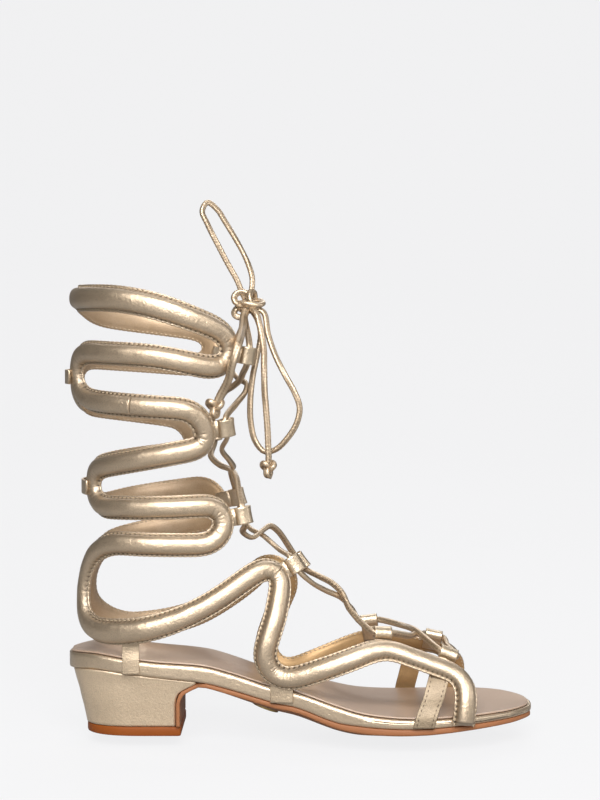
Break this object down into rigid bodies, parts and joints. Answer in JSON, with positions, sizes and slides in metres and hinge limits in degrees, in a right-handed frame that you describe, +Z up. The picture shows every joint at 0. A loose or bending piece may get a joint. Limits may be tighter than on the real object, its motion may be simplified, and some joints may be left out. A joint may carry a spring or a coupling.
{
  "type": "gladiator sandal",
  "caption": "Right-foot gladiator sandal with padded metallic leather straps to below the calf, laced front with a bow, flat leather sole and low block heel.",
  "frame": {"origin": "middle of the flat bottom of the heel's top lift, on the floor", "axes": "+X towards the toe along the sole, +Y towards the inner (medial) side, +Z up the leg"},
  "size_m": [0.25, 0.0929, 0.2803],
  "materials": {
    "gold_leather": "metallic pale gold foiled leather, soft sheen, fine grain",
    "lace_leather": "narrow turned strip of the same pale gold leather",
    "sock_leather": "smooth taupe-pink insole leather with a satin sheen",
    "sole_leather": "tan sole leather, waxed edge",
    "lift_rubber": "orange-brown top lift",
    "plate_metal": "plain polished oval plate"
  },
  "bodies": {
    "root": {"collar_strap": "gold_leather", "shaft_strap_lateral": "gold_leather", "shaft_strap_medial": "gold_leather", "foot_strap_lateral": "gold_leather", "foot_strap_medial": "gold_leather", "footbed_board": "gold_leather", "heel_block": "gold_leather", "heel_tab_lateral": "gold_leather", "heel_tab_medial": "gold_leather", "waist_tab_lateral": "gold_leather", "waist_tab_medial": "gold_leather", "cross_strap_lateral": "gold_leather", "cross_strap_medial": "gold_leather", "back_tab_upper": "gold_leather", "back_tab_lower": "gold_leather", "lace_loop_lateral_1": "gold_leather", "lace_loop_medial_1": "gold_leather", "lace_loop_lateral_2": "gold_leather", "lace_loop_medial_2": "gold_leather", "lace_loop_lateral_3": "gold_leather", "lace_loop_medial_3": "gold_leather", "lace_loop_lateral_4": "gold_leather", "lace_loop_medial_4": "gold_leather", "lace_loop_lateral_5": "gold_leather", "lace_loop_medial_5": "gold_leather", "lace_loop_lateral_6": "gold_leather", "lace_loop_medial_6": "gold_leather", "lace_crossing_1": "lace_leather", "lace_crossing_2": "lace_leather", "lace_crossing_3": "lace_leather", "lace_crossing_4": "lace_leather", "lace_crossing_5": "lace_leather", "lace_crossing_6": "lace_leather", "lace_knot": "lace_leather", "lace_bow_up": "lace_leather", "lace_bow_down": "lace_leather", "lace_end_front": "lace_leather", "lace_end_back": "lace_leather", "lace_tip_front": "lace_leather", "lace_tip_back": "lace_leather", "insole": "sock_leather", "outsole": "sole_leather", "top_lift": "lift_rubber", "waist_plate": "plate_metal"}
  },
  "joints": []
}
